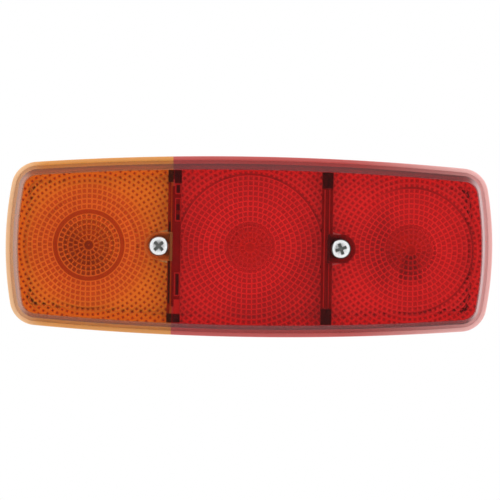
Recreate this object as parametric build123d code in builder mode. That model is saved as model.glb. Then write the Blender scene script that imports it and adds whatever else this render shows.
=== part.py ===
from build123d import *
from math import atan2, copysign, cos, degrees, radians, sin, tan
import os

os.makedirs("parts", exist_ok=True)

# Tail light cluster: an amber direction indicator, a red stop lamp and a red tail lamp under one bowed lens.
# The lamp hangs on two studs on a flat panel. The origin lies on the mounting face, midway between the studs.
# +X runs along the lamp, +Z is up and the lens looks along -Y. Heights are counted from the mounting face
# towards the lens. Insets are counted inwards from the outline of the lens lip. All sizes are in millimetres.

# Outline of the lens lip, seen from the front
length = 240.0
height = 89.0
long_edge_bow = 5.1
short_edge_bow = 4.7
corner_radius = 13.0
smallest_corner = 2.0

# Depth of the lamp, from the mounting face to the lens face
depth = 70.0

# Lens: a flat face, a leaning skirt and a lip round the skirt's foot
lens_wall = 2.5
skirt_depth = 26.0
skirt_lean = 4.2
face_bevel = 1.2
lip_width = 2.0
lip_thickness = 3.0

# Chambers: three of equal pitch, with dividers a little nearer to the middle lamp than to the outer ones
end_margin = 1.5
divider_shift = 1.5
rib_wall = 2.0
rib_depth = 10.0
rib_margin = 15.5

# Ring optics on the inner side of the lens face
ring_pitch = 5.1
ring_height = 0.7
ring_count = 10
ring_sides = 18
window_margin = 2.0
amber_strip = 2.4
red_strip = 4.0

# Glued joint of the two lenses: tabs of the amber wall sit in slots of the red wall
joint_tabs = ((26.0, 5.0), (16.0, 9.0), (-18.0, 9.0))
tab_height = 6.0
tab_drop = 3.0
tab_gap = 0.2

# Tongues under the red lens that locate it inside the tray
tongue_width = 14.0
tongue_thickness = 2.0
tongue_reach = 5.0
tongue_gap = 0.3

# Lens screws, M5 with pan heads, in D-shaped pockets of the lens face
screw_offset = 6.75
screw_radius = 2.5
screw_length = 20.0
screw_gap = 0.3
head_radius = 5.0
head_height = 3.6
head_bevel = 1.3
screw_sides = 24
recess_width = 1.2
recess_length = 5.6
recess_depth = 2.0
recess_turns = (45.0, 20.0)
pocket_radius = 7.5
pocket_depth = 6.0
pocket_wall = 2.0
pocket_gap = 1.3

# Posts of the tray and the hexagonal brass inserts in them
post_radius = 4.5
post_foot_width = 12.0
post_gap = 0.5
boss_depth = 4.0
insert_across = 6.2
insert_length = 10.0
insert_gap = 0.05
bore_spare = 3.0

# Tray
tray_inset = 5.0
tray_wall = 2.5
floor_thickness = 2.5
back_recess = 2.5
back_end_margin = 15.0
back_side_margin = 12.5
flange_thickness = 3.0
flange_step = 0.3
baffle_wall = 2.0
baffle_margin = 11.5
baffle_gap = 0.5

# Gasket between the skirt's foot and the flange
gasket_thickness = 2.0
gasket_width = 4.7

# Reflector plate and its screws
plate_high = 35.0
plate_sheet = 0.8
plate_gap = 1.2
dish_margin = 14.0
dish_waist_radius = 17.0
dish_waist_share = 0.6
dish_depth = 10.2
dish_floor_radius = 11.0
dish_sides = 20
slot_gap = 0.4
pillar_margin = 12.5
pillar_width = 7.0
plate_screw_radius = 1.75
plate_screw_length = 12.0
plate_screw_head_radius = 3.5
plate_screw_head_height = 2.2
plate_screw_sides = 10
plate_hole_gap = 0.2

# Bulbs of the 21 W type with bayonet caps
bulb_length = 51.0
glass_radius = 12.5
neck_radius = 7.0
glass_sides = 16
ball_angles = (-15, 15, 40, 65, 85)
cap_radius = 7.5
cap_length = 17.0
cap_sides = 16
pin_radius = 1.0
pin_sides = 8
pin_reach = 1.1
pin_height = 7.0

# Bayonet sockets
socket_wall = 0.6
socket_gap = 0.2
socket_tail = 9.0
socket_rise = 0.8
bayonet_turn = 30.0
bayonet_gap = 0.2

# Contact strips on the tray floor, each with a spade tab
strip_width = 6.3
strip_sheet = 0.6
strip_rise = 3.0
strip_tip = 4.0
strip_ramp_end = 15.0
strip_foot_end = 27.0
spade_length = 10.0
rivet_z = 21.0
rivet_radius = 1.5
rivet_head_radius = 2.8
rivet_head_height = 1.2
rivet_sides = 8
rivet_gap = 0.1

# Earth terminal under the reflector plate
earth_offset = 7.0
earth_half_length = 6.0
earth_rivet_z = 2.0

# Cable grommet in the tray's back wall
grommet_margin = 22.5
grommet_radius = 6.5
grommet_flange_radius = 9.0
grommet_flange = 2.0
grommet_nose_radius = 7.5
grommet_bore_radius = 3.5
grommet_sides = 16
grommet_gap = 0.1

# Mounting studs, M6 with hexagon heads and square necks
stud_spacing = 120.0
stud_radius = 3.0
stud_reach = 20.0
stud_head_across = 10.0
stud_head_height = 4.0
stud_neck_width = 7.0
stud_neck_gap = 0.2
stud_pad_width = 18.0
stud_pad_recess = 0.8

# Places, heights and insets that follow from the sizes above
lamp_pitch = (length - 2 * end_margin) / 3
divider_x = lamp_pitch / 2 - divider_shift
screw_x = divider_x + screw_offset
dish_radius = divider_x - dish_margin
rib_length = height - 2 * rib_margin
baffle_length = height - 2 * baffle_margin
back_length = length - 2 * back_end_margin
back_height = height - 2 * back_side_margin
pillar_x = length / 2 - pillar_margin
earth_x = divider_x - earth_offset
grommet_z = height / 2 - grommet_margin
lens_inner = depth - lens_wall
skirt_foot = depth - skirt_depth
face_inset = lip_width + skirt_lean
ring_low = lens_inner - ring_height
ring_root = lens_inner + lens_wall / 2
flange_high = skirt_foot - gasket_thickness
flange_inset = lip_width + flange_step
floor_high = back_recess + floor_thickness
rib_low = lens_inner - rib_depth
pocket_floor = depth - pocket_depth
boss_low = pocket_floor - lens_wall - boss_depth
post_high = boss_low - post_gap
insert_low = post_high - insert_length
screw_low = pocket_floor - screw_length
plate_low = plate_high - plate_sheet
dish_floor = plate_high - dish_depth
bulb_low = floor_high + strip_rise
cap_high = bulb_low + cap_length
bulb_high = bulb_low + bulb_length
pin_centre = bulb_low + pin_height
socket_inner = cap_radius + socket_gap
socket_outer = socket_inner + socket_wall
socket_high = dish_floor + socket_rise
stud_x = stud_spacing / 2

lamps = {"indicator": -lamp_pitch, "stop": 0.0, "tail": lamp_pitch}


def level(high):
    """Plane parallel to the mounting face, at a height above it, with local axes X and Z."""
    return Plane(origin=(0, -high, 0), x_dir=(1, 0, 0), z_dir=(0, -1, 0))


def upright(turn):
    """Plane through the Y axis, turned about it by an angle, with local axes outwards and to the lens."""
    angle = radians(turn)
    return Plane(origin=(0, 0, 0), x_dir=(cos(angle), 0, sin(angle)), z_dir=(sin(angle), 0, -cos(angle)))


def rim_outline(inset):
    """Outline of the lip moved inwards: two bowed long edges, two bowed short edges and round corners."""
    half_length = length / 2 - inset
    half_height = height / 2 - inset
    corner_x = half_length - short_edge_bow
    corner_z = half_height - long_edge_bow
    with BuildSketch(Plane.XY) as outline:
        with BuildLine():
            ThreePointArc((-corner_x, -corner_z), (0, -half_height), (corner_x, -corner_z))
            ThreePointArc((corner_x, -corner_z), (half_length, 0), (corner_x, corner_z))
            ThreePointArc((corner_x, corner_z), (0, half_height), (-corner_x, corner_z))
            ThreePointArc((-corner_x, corner_z), (-half_length, 0), (-corner_x, -corner_z))
        make_face()
        fillet(outline.vertices(), max(corner_radius - inset, smallest_corner))
    return outline.sketch


def block(inset, low, high, mode=Mode.ADD):
    """Straight block of the rim outline between two heights."""
    with BuildSketch(level(low)) as footprint:
        add(rim_outline(inset))
    extrude(footprint.sketch, amount=high - low, mode=mode)


def leaning_form(low_inset, low, high_inset, high):
    """Block whose walls lean inwards, from an inset at its low end to an inset at its high end."""
    lean = degrees(atan2(high_inset - low_inset, high - low))
    with BuildPart() as form:
        with BuildSketch(Plane.XY) as foot:
            add(rim_outline(low_inset))
        extrude(foot.sketch, amount=high - low, taper=lean)
    return form.part.moved(Location((0, -low, 0), (90, 0, 0)))


def disc(x, z, radius, low, high, mode=Mode.ADD):
    """Round block about a line along Y."""
    with BuildSketch(level(low)) as footprint:
        with Locations((x, z)):
            Circle(radius)
    extrude(footprint.sketch, amount=high - low, mode=mode)


def bar(x, z, width, tall, low, high, mode=Mode.ADD):
    """Rectangular block centred at (x, z)."""
    with BuildSketch(level(low)) as footprint:
        with Locations((x, z)):
            Rectangle(width, tall)
    extrude(footprint.sketch, amount=high - low, mode=mode)


def prism(x, z, radius, sides, low, high, mode=Mode.ADD):
    """Straight block with a regular polygon as its outline. The radius is measured to the flats."""
    with BuildSketch(level(low)) as footprint:
        with Locations((x, z)):
            RegularPolygon(radius, sides, major_radius=False)
    extrude(footprint.sketch, amount=high - low, mode=mode)


def faceted_form(sides, profile):
    """Form of flat facets about the Y axis: at each height a regular polygon as wide as the profile."""
    other_side = [(-radius, high) for radius, high in reversed(profile)]
    reach = 2 * max(radius for radius, high in profile)
    with BuildPart() as form:
        for n in range(sides // 2):
            with BuildSketch(upright(180 * (2 * n + 1) / sides)) as section:
                with BuildLine():
                    Polyline(*profile, *other_side, close=True)
                make_face()
            extrude(section.sketch, amount=reach, both=True, mode=Mode.INTERSECT if n else Mode.ADD)
    return form.part


def place(form, x, z, mode=Mode.ADD):
    """Set a form that was made about the Y axis on the line through (x, z)."""
    with Locations((x, 0, z)):
        add(form, mode=mode)


def pocket_outline(x, radius, gap):
    """D-shaped outline round a lens screw, straight at a gap from the divider."""
    side = copysign(1, x)
    straight_x = side * (divider_x + gap)
    with BuildSketch(Plane.XY) as outline:
        with Locations((x, 0)):
            Circle(radius)
        with Locations(((x + straight_x) / 2, 0)):
            Rectangle(abs(x - straight_x), 2 * radius)
        with Locations((straight_x - side * radius, 0)):
            Rectangle(2 * radius, 2 * radius, mode=Mode.SUBTRACT)
    return outline.sketch


def window_outline(low_x, high_x):
    """Part of the lens face between two upright lines that has ring optics, clear of the screw pockets."""
    with BuildSketch(Plane.XY) as outline:
        add(rim_outline(face_inset + window_margin))
        with Locations(((low_x + high_x) / 2, 0)):
            Rectangle(high_x - low_x, height, mode=Mode.INTERSECT)
        for x in (-screw_x, screw_x):
            add(pocket_outline(x, pocket_radius + pocket_wall, 0), mode=Mode.SUBTRACT)
    return outline.sketch


def ring_optics(centre_x, low_x, high_x):
    """Ring disc set on a bulb axis and cut off at the edges of its window."""
    with BuildPart() as optics:
        with Locations((centre_x, 0, 0)):
            add(ring_disc.part)
        with BuildSketch(level(ring_low)) as window:
            add(window_outline(low_x, high_x))
        extrude(window.sketch, amount=ring_root - ring_low, mode=Mode.INTERSECT)
    return optics.part


def screw_seat(x):
    """Cup of a screw pocket with its boss, added under the lens face."""
    with BuildSketch(level(pocket_floor - lens_wall)) as cup:
        add(pocket_outline(x, pocket_radius + pocket_wall, 0))
    extrude(cup.sketch, amount=lens_inner + lens_wall / 2 - pocket_floor + lens_wall)
    prism(x, 0, post_radius, screw_sides, boss_low, pocket_floor)
    with BuildSketch(level(pocket_floor)) as hollow:
        add(pocket_outline(x, pocket_radius, pocket_gap))
    extrude(hollow.sketch, amount=pocket_depth, mode=Mode.SUBTRACT)
    prism(x, 0, screw_radius + screw_gap, screw_sides, boss_low, pocket_floor, Mode.SUBTRACT)


def rivet_form(low, high):
    """Rivet about the Y axis that clamps what lies between two heights."""
    return faceted_form(rivet_sides, (
        (rivet_head_radius, low - rivet_head_height),
        (rivet_head_radius, low),
        (rivet_radius, low),
        (rivet_radius, high),
        (rivet_head_radius, high),
        (rivet_head_radius / 2, high + rivet_head_height),
    ))


def rivet_hole(x, z, low, high):
    """Hole for the shank of a rivet between two heights."""
    prism(x, z, rivet_radius + rivet_gap, rivet_sides, low, high, Mode.SUBTRACT)


# Form of the whole lens, before it is parted into amber and red
skirt_inset = face_inset - face_bevel
skirt_top = depth - face_bevel
skirt_outside = leaning_form(lip_width, skirt_foot, skirt_inset, skirt_top)
face_edge = leaning_form(skirt_inset, skirt_top, face_inset, depth)
with BuildPart() as lens_form:
    block(0, skirt_foot, skirt_foot + lip_thickness)
    add(skirt_outside)
    add(face_edge)
    block(skirt_inset + lens_wall, skirt_foot, lens_inner, Mode.SUBTRACT)

# Ring optics: one sector of concentric V-shaped ridges round a flat centre, repeated about the axis
with BuildPart() as ring_sector:
    edge = ring_count * ring_pitch
    ridges = [(n * ring_pitch / 2, lens_inner - ring_height * (n % 2)) for n in range(1, 2 * ring_count + 1)]
    with BuildSketch(upright(0)):
        with BuildLine():
            Polyline((0, ring_root), (0, ring_low), *ridges, (edge, ring_root), close=True)
        make_face()
    extrude(amount=edge, both=True)
    half_side = edge * tan(radians(180 / ring_sides))
    with BuildSketch(level(ring_low)):
        with BuildLine():
            Polyline((0, 0), (edge, -half_side), (edge, half_side), close=True)
        make_face()
    extrude(amount=ring_root - ring_low, mode=Mode.INTERSECT)
with BuildPart() as ring_disc:
    add([ring_sector.part.rotate(Axis.Y, 360 * n / ring_sides) for n in range(ring_sides)])

# Ring optics of the three windows
indicator_optics = ring_optics(lamps["indicator"], -length / 2, -divider_x - amber_strip)
stop_optics = ring_optics(lamps["stop"], red_strip - divider_x, divider_x - red_strip)
tail_optics = ring_optics(lamps["tail"], divider_x + red_strip, length / 2)

# Amber lens over the indicator, with the tabs of the joint
with BuildPart() as amber_lens:
    add(lens_form.part)
    split(bisect_by=Plane.YZ.offset(-divider_x), keep=Keep.BOTTOM)
    add(indicator_optics)
    bar(-divider_x - rib_wall / 2, 0, rib_wall, rib_length, rib_low, lens_inner)
    screw_seat(-screw_x)
    for tab_z, tab_length in joint_tabs:
        tab_top = lens_inner - tab_drop
        tab_reach = rib_wall - tab_gap
        bar(tab_reach / 2 - divider_x, tab_z, tab_reach, tab_length, tab_top - tab_height, tab_top)
amber_lens.part.label = "amber_lens"
export_step(amber_lens.part, "parts/amber_lens.step")

# Red lens over the stop and tail lamps, with the slots of the joint, the divider rib and the tongues
with BuildPart() as red_lens:
    add(lens_form.part)
    split(bisect_by=Plane.YZ.offset(-divider_x), keep=Keep.TOP)
    add(stop_optics)
    add(tail_optics)
    bar(rib_wall / 2 - divider_x, 0, rib_wall, rib_length, rib_low, lens_inner)
    bar(divider_x, 0, rib_wall, rib_length, rib_low, lens_inner)
    screw_seat(screw_x)
    for tab_z, tab_length in joint_tabs:
        slot_top = lens_inner - tab_drop + tab_gap
        slot_low = slot_top - tab_height - 2 * tab_gap
        slot_length = tab_length + 2 * tab_gap
        bar(rib_wall / 2 - divider_x, tab_z, rib_wall, slot_length, slot_low, slot_top, Mode.SUBTRACT)
    tongue_top = height / 2 - tray_inset - tray_wall - tongue_gap
    for side in (-1, 1):
        tongue_z = side * (tongue_top - tongue_thickness / 2)
        bar(0, tongue_z, tongue_width, tongue_thickness, flange_high - tongue_reach, lens_inner)
red_lens.part.label = "red_lens"
export_step(red_lens.part, "parts/red_lens.step")

# Lens screws with a cross recess
head_high = pocket_floor + head_height
lens_screw = faceted_form(screw_sides, (
    (screw_radius, screw_low),
    (screw_radius, pocket_floor),
    (head_radius, pocket_floor),
    (head_radius, head_high - head_bevel),
    (head_radius - head_bevel, head_high),
))
with BuildPart() as lens_screws:
    for x, turn in zip((-screw_x, screw_x), recess_turns):
        place(lens_screw, x, 0)
        with BuildSketch(level(head_high - recess_depth)):
            with Locations((x, 0)):
                Rectangle(recess_length, recess_width, rotation=turn)
                Rectangle(recess_width, recess_length, rotation=turn)
        extrude(amount=recess_depth, mode=Mode.SUBTRACT)
lens_screws.part.label = "lens_screws"
export_step(lens_screws.part, "parts/lens_screws.step")

# Threaded inserts in the posts
with BuildPart() as threaded_inserts:
    for x in (-screw_x, screw_x):
        prism(x, 0, insert_across / 2, 6, insert_low, post_high)
        prism(x, 0, screw_radius + insert_gap, screw_sides, insert_low, post_high, Mode.SUBTRACT)
threaded_inserts.part.label = "threaded_inserts"
export_step(threaded_inserts.part, "parts/threaded_inserts.step")

# Gasket
with BuildPart() as lens_gasket:
    block(flange_inset, flange_high, skirt_foot)
    block(flange_inset + gasket_width, flange_high, skirt_foot, Mode.SUBTRACT)
lens_gasket.part.label = "lens_gasket"
export_step(lens_gasket.part, "parts/lens_gasket.step")

# Tray with its flange, posts, pillars, stud holes, grommet hole and baffles with horns beyond the lens ribs
with BuildPart() as base_housing:
    block(tray_inset, 0, flange_high)
    block(flange_inset, flange_high - flange_thickness, flange_high)
    block(tray_inset + tray_wall, floor_high, flange_high, Mode.SUBTRACT)
    bar(0, 0, back_length, back_height, 0, back_recess, Mode.SUBTRACT)
    for x in (-screw_x, screw_x):
        side = copysign(1, x)
        web_x = side * (divider_x + screw_x) / 2
        bar(x, 0, post_foot_width, post_foot_width, floor_high, plate_low)
        prism(x, 0, post_radius, screw_sides, plate_low, post_high)
        baffle_high = rib_low - baffle_gap
        bar(side * divider_x, 0, baffle_wall, baffle_length, floor_high, baffle_high)
        horn_length = (baffle_length - rib_length) / 2 - baffle_gap
        for end in (-1, 1):
            horn_z = end * (baffle_length - horn_length) / 2
            bar(side * divider_x, horn_z, baffle_wall, horn_length, baffle_high, lens_inner - baffle_gap)
        bar(web_x, 0, screw_x - divider_x, baffle_wall, floor_high, insert_low)
        prism(x, 0, insert_across / 2 + insert_gap, 6, insert_low, post_high, Mode.SUBTRACT)
        bore_low = screw_low - bore_spare
        prism(x, 0, screw_radius + screw_gap, screw_sides, bore_low, insert_low, Mode.SUBTRACT)
    pillar_end = length / 2 - tray_inset - tray_wall / 2
    pillar_length = pillar_end - pillar_x + pillar_width / 2
    for side in (-1, 1):
        bar(side * (pillar_end - pillar_length / 2), 0, pillar_length, pillar_width, floor_high, plate_low)
        hole_low = plate_high - plate_screw_length - bore_spare
        prism(side * pillar_x, 0, plate_screw_radius, plate_screw_sides, hole_low, plate_low, Mode.SUBTRACT)
    for x in (-stud_x, stud_x):
        bar(x, 0, stud_pad_width, stud_pad_width, stud_pad_recess, back_recess)
        neck_hole = stud_neck_width + 2 * stud_neck_gap
        bar(x, 0, neck_hole, neck_hole, stud_pad_recess, floor_high, Mode.SUBTRACT)
    for x in lamps.values():
        rivet_hole(x, -rivet_z, back_recess, floor_high)
    grommet_hole = grommet_radius + grommet_gap
    prism(0, grommet_z, grommet_hole, grommet_sides, back_recess, floor_high, Mode.SUBTRACT)
base_housing.part.label = "base_housing"
export_step(base_housing.part, "parts/base_housing.step")

# Reflector plate: a pressed sheet with three faceted dishes, holes for the posts and slots for the baffles
waist_high = plate_high - dish_depth * dish_waist_share
dish_outside = faceted_form(dish_sides, (
    (dish_floor_radius + plate_sheet, dish_floor - plate_sheet),
    (dish_waist_radius + plate_sheet, waist_high - plate_sheet),
    (dish_radius + plate_sheet, plate_low),
))
dish_inside = faceted_form(dish_sides, (
    (dish_floor_radius, dish_floor),
    (dish_waist_radius, waist_high),
    (dish_radius, plate_high),
))
with BuildPart() as reflector_plate:
    block(tray_inset + tray_wall + plate_gap, plate_low, plate_high)
    for x in lamps.values():
        place(dish_outside, x, 0)
        place(dish_inside, x, 0, Mode.SUBTRACT)
        prism(x, 0, socket_outer + socket_gap, cap_sides, dish_floor - plate_sheet, dish_floor, Mode.SUBTRACT)
    for side in (-1, 1):
        post_hole = post_radius + slot_gap
        prism(side * screw_x, 0, post_hole, screw_sides, plate_low, plate_high, Mode.SUBTRACT)
        web_x = side * (divider_x + screw_x) / 2
        bar(web_x, 0, screw_x - divider_x, 2 * post_hole, plate_low, plate_high, Mode.SUBTRACT)
        slot_width = baffle_wall + 2 * slot_gap
        slot_tall = baffle_length + 2 * slot_gap
        bar(side * divider_x, 0, slot_width, slot_tall, plate_low, plate_high, Mode.SUBTRACT)
        screw_hole = plate_screw_radius + plate_hole_gap
        prism(side * pillar_x, 0, screw_hole, plate_screw_sides, plate_low, plate_high, Mode.SUBTRACT)
    rivet_hole(earth_x, earth_rivet_z, plate_low, plate_high)
reflector_plate.part.label = "reflector_plate"
export_step(reflector_plate.part, "parts/reflector_plate.step")

# Screws that hold the plate on the pillars
plate_screw = faceted_form(plate_screw_sides, (
    (plate_screw_radius - plate_hole_gap, plate_high - plate_screw_length),
    (plate_screw_radius - plate_hole_gap, plate_high),
    (plate_screw_head_radius, plate_high),
    (plate_screw_head_radius, plate_high + plate_screw_head_height / 3),
    (plate_screw_head_radius / 2, plate_high + plate_screw_head_height),
))
with BuildPart() as plate_screws:
    for x in (-pillar_x, pillar_x):
        place(plate_screw, x, 0)
plate_screws.part.label = "plate_screws"
export_step(plate_screws.part, "parts/plate_screws.step")

# Bulb glasses: a neck that runs into a ball
ball_centre = bulb_high - glass_radius
stations = [(neck_radius, cap_high)]
for angle in ball_angles:
    turn = radians(angle)
    stations.append((glass_radius * cos(turn), ball_centre + glass_radius * sin(turn)))
bulb_glass = faceted_form(glass_sides, stations)
with BuildPart() as bulb_glasses:
    for x in lamps.values():
        place(bulb_glass, x, 0)
bulb_glasses.part.label = "bulb_glasses"
export_step(bulb_glasses.part, "parts/bulb_glasses.step")

# Bulb caps with their two bayonet pins
with BuildPart() as bulb_caps:
    for x in lamps.values():
        prism(x, 0, cap_radius, cap_sides, bulb_low, cap_high)
        with BuildSketch(Plane.YZ.offset(x - cap_radius - pin_reach)):
            with Locations((-pin_centre, 0)):
                RegularPolygon(pin_radius, pin_sides)
        extrude(amount=2 * (cap_radius + pin_reach))
bulb_caps.part.label = "bulb_caps"
export_step(bulb_caps.part, "parts/bulb_caps.step")

# Bayonet sockets: a tube with two slots that turn sideways at the seats of the pins
for lamp, x in lamps.items():
    with BuildPart() as socket:
        prism(x, 0, socket_outer, cap_sides, socket_tail, socket_high)
        prism(x, 0, socket_inner, cap_sides, socket_tail, socket_high, Mode.SUBTRACT)
        slot_half = pin_radius + bayonet_gap
        slot_cut = 2 * socket_outer - 2 * socket_inner + pin_reach
        seat_cut = socket_outer / 2 + 2 * slot_half
        with BuildSketch(level(pin_centre - slot_half)):
            with Locations((x, 0)):
                with PolarLocations(socket_outer, 2, -bayonet_turn):
                    Rectangle(slot_cut, 2 * slot_half)
        extrude(amount=socket_high - pin_centre + slot_half, mode=Mode.SUBTRACT)
        with BuildSketch(level(pin_centre - slot_half)):
            with Locations((x, 0)):
                with PolarLocations(socket_outer, 2, -bayonet_turn / 2):
                    Rectangle(slot_cut, seat_cut)
        extrude(amount=2 * slot_half, mode=Mode.SUBTRACT)
    socket.part.label = f"{lamp}_socket"
    export_step(socket.part, f"parts/{lamp}_socket.step")

# Contact strips: a spade tab, a foot on the tray floor, a ramp and a flat tip under the bulb
for lamp, x in lamps.items():
    with BuildPart() as contact:
        with BuildSketch(Plane.YZ.offset(x - strip_width / 2)):
            with BuildLine():
                Polyline(
                    (-floor_high - spade_length, -strip_foot_end),
                    (-floor_high, -strip_foot_end),
                    (-floor_high, -strip_ramp_end),
                    (strip_sheet - bulb_low, -strip_tip),
                    (strip_sheet - bulb_low, strip_tip),
                    (-bulb_low, strip_tip),
                    (-bulb_low, -strip_tip),
                    (-floor_high - strip_sheet, -strip_ramp_end),
                    (-floor_high - strip_sheet, strip_sheet - strip_foot_end),
                    (-floor_high - spade_length, strip_sheet - strip_foot_end),
                    close=True,
                )
            make_face()
        extrude(amount=strip_width)
        rivet_hole(x, -rivet_z, floor_high, floor_high + strip_sheet)
    contact.part.label = f"{lamp}_contact"
    export_step(contact.part, f"parts/{lamp}_contact.step")

# Rivets of the contact strips
contact_rivet = rivet_form(back_recess, floor_high + strip_sheet)
with BuildPart() as contact_rivets:
    for x in lamps.values():
        place(contact_rivet, x, -rivet_z)
contact_rivets.part.label = "contact_rivets"
export_step(contact_rivets.part, "parts/contact_rivets.step")

# Earth terminal under the plate, with a spade tab that points to the back
with BuildPart() as earth_terminal:
    earth_top = plate_low - strip_sheet
    bar(earth_x, 0, strip_width, 2 * earth_half_length, earth_top, plate_low)
    spade_z = strip_sheet / 2 - earth_half_length
    bar(earth_x, spade_z, strip_width, strip_sheet, earth_top - spade_length, earth_top)
    rivet_hole(earth_x, earth_rivet_z, earth_top, plate_low)
earth_terminal.part.label = "earth_terminal"
export_step(earth_terminal.part, "parts/earth_terminal.step")

# Rivet of the earth terminal
earth_rivet_form = rivet_form(plate_low - strip_sheet, plate_high)
with BuildPart() as earth_rivet:
    place(earth_rivet_form, earth_x, earth_rivet_z)
earth_rivet.part.label = "earth_rivet"
export_step(earth_rivet.part, "parts/earth_rivet.step")

# Cable grommet, snapped into the back wall
grommet_low = back_recess - grommet_flange
grommet_high = floor_high + grommet_flange
grommet_form = faceted_form(grommet_sides, (
    (grommet_flange_radius, grommet_low),
    (grommet_flange_radius, back_recess),
    (grommet_radius, back_recess),
    (grommet_radius, floor_high),
    (grommet_flange_radius, floor_high),
    (grommet_nose_radius, grommet_high),
))
with BuildPart() as cable_grommet:
    place(grommet_form, 0, grommet_z)
    prism(0, grommet_z, grommet_bore_radius, grommet_sides, grommet_low, grommet_high, Mode.SUBTRACT)
cable_grommet.part.label = "cable_grommet"
export_step(cable_grommet.part, "parts/cable_grommet.step")

# Mounting studs
with BuildPart() as mounting_studs:
    for x in (-stud_x, stud_x):
        prism(x, 0, stud_head_across / 2, 6, floor_high, floor_high + stud_head_height)
        bar(x, 0, stud_neck_width, stud_neck_width, stud_pad_recess, floor_high)
        disc(x, 0, stud_radius, -stud_reach, stud_pad_recess)
mounting_studs.part.label = "mounting_studs"
export_step(mounting_studs.part, "parts/mounting_studs.step")
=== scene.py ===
import bpy
import numpy as np
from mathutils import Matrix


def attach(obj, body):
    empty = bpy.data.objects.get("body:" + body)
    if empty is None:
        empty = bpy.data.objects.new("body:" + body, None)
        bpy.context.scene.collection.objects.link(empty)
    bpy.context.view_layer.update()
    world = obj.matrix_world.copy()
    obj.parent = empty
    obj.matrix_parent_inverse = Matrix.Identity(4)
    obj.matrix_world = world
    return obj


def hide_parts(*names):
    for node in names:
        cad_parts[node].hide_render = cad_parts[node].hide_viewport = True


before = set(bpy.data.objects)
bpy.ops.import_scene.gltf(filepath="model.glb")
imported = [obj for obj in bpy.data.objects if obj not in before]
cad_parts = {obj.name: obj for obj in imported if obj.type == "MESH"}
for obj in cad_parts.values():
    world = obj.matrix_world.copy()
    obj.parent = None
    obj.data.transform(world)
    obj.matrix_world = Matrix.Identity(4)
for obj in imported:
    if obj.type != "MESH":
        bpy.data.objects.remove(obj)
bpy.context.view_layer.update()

# Sizes are in millimetres. Heights count from the mounting face towards the lens, along -Y.
MM = 0.001
sharp_angle = 35.0
tip_radius = 0.02
tiny = 1e-6
far_away = 1e6

# Limits of the grain in a finish, and height of its relief
grain_range = (0.3, 0.7)
relief = 0.2

# Outline of the lens lip
length = 240.0
height = 89.0
long_edge_bow = 5.1
short_edge_bow = 4.7
corner_radius = 13.0

# Steps along a long edge, a corner and a short edge: for the swept rims, and for the windows' outline
rim_steps = (60, 24, 40)
outline_steps = (400, 100, 200)

# Steps of round edges
lip_steps = 6
face_steps = 8
grommet_steps = 5

# Lens form
depth = 70.0
lens_wall = 2.5
lens_inner = depth - lens_wall
skirt_foot = 44.0
skirt_overlap = 0.05
lip_width = 2.0
lip_thickness = 3.0
lip_top = skirt_foot + lip_thickness
lip_round = 0.5
face_inset = 6.2
face_round = 0.4
window_margin = 0.2
window_inset = face_inset + window_margin
hollow_inset = 6.3
hollow_drop = 0.3
foot_inset = 4.6
ledge_inset = 9.2
ledge_low = 44.2
ledge_high = 45.0

# Windows, dividers and screw pockets
lamp_pitch = 79.0
dish_radius = 24.0
divider_x = 38.0
amber_strip = 2.4
joint_strip = 4.2
stop_strip = 3.0
tail_strip = 2.6
rib_wall = 2.0
rib_depth = 10.0
half_rib = 29.0
screw_x = 44.75
pocket_radius = 6.3
pocket_wall = 0.8
pocket_outer = pocket_radius + pocket_wall
pocket_gap = 1.3
pocket_depth = 6.0
pocket_floor = depth - pocket_depth
pocket_steps = 96
boss_radius = 4.5
boss_low = 57.5
screw_hole = 2.8

# Levels under the dividers: ridges in a painted highlight colour and painted shadow slots, then a painted
# shade sheet, then the ribs
painted_bar_levels = (lens_inner - 1.0, lens_inner - 0.1)
shade_sheet_levels = (lens_inner - 1.6, lens_inner - 1.1)
rib_levels = (lens_inner - rib_depth, lens_inner - 1.7)

# Trim under the dividers, as places (low x, low z, high x, high z): painted shade sheets, painted shadow
# slots and ridges in a painted highlight colour
joint_gap = 0.02
amber_joint_x = -divider_x - joint_gap
red_joint_x = joint_gap - divider_x
amber_edge_x = -divider_x - amber_strip
end_z = 37.4
frame_wall = 0.55
amber_ribs = ((-divider_x - rib_wall / 2, -half_rib, amber_joint_x, half_rib),)
amber_shade_sheets = (
    (amber_edge_x, pocket_outer, amber_joint_x, end_z), (amber_edge_x, -end_z, amber_joint_x, -pocket_outer))
amber_shadow_slots = (
    (-39.9, -28.0, -39.1, -pocket_outer), (-39.9, pocket_outer, -39.1, 12.0),
    (amber_edge_x, 31.5, amber_joint_x, end_z), (amber_edge_x, -end_z, amber_joint_x, -33.0))
amber_highlight_ridges = ((-38.9, -31.0, -38.4, -pocket_outer), (-38.9, pocket_outer, -38.4, 31.0))
red_ribs = (
    (-divider_x, -half_rib, rib_wall / 2 - divider_x, half_rib),
    (divider_x - rib_wall / 2, -half_rib, divider_x + rib_wall / 2, half_rib))
red_shade_sheets = (
    (red_joint_x, -end_z, -34.0, end_z), (35.1, -end_z, divider_x, end_z),
    (divider_x, pocket_outer, 40.5, end_z), (divider_x, -end_z, 40.5, -pocket_outer))
red_highlight_frames = ((-37.0, 25.6, -34.1, 30.8), (-37.0, 12.2, -34.1, 23.8), (-37.0, -24.4, -34.1, -12.8))
red_highlight_ridges = (
    (-37.0, -33.0, -34.1, -26.0), (36.2, -29.0, 36.8, 29.0),
    (38.6, pocket_outer, 39.1, 29.0), (38.6, -29.0, 39.1, -pocket_outer))
red_shadow_slots = (
    (-37.2, 31.2, -33.9, end_z), (-37.2, -end_z, -33.9, -33.4),
    (-36.4, 26.2, -34.7, 30.2), (-36.4, 17.8, -34.7, 20.8),
    (-36.4, 13.2, -34.7, 15.7), (-35.9, -23.8, -34.7, -13.4),
    (35.3, 29.6, 40.4, end_z), (35.3, -end_z, 40.4, -29.6))

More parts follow.
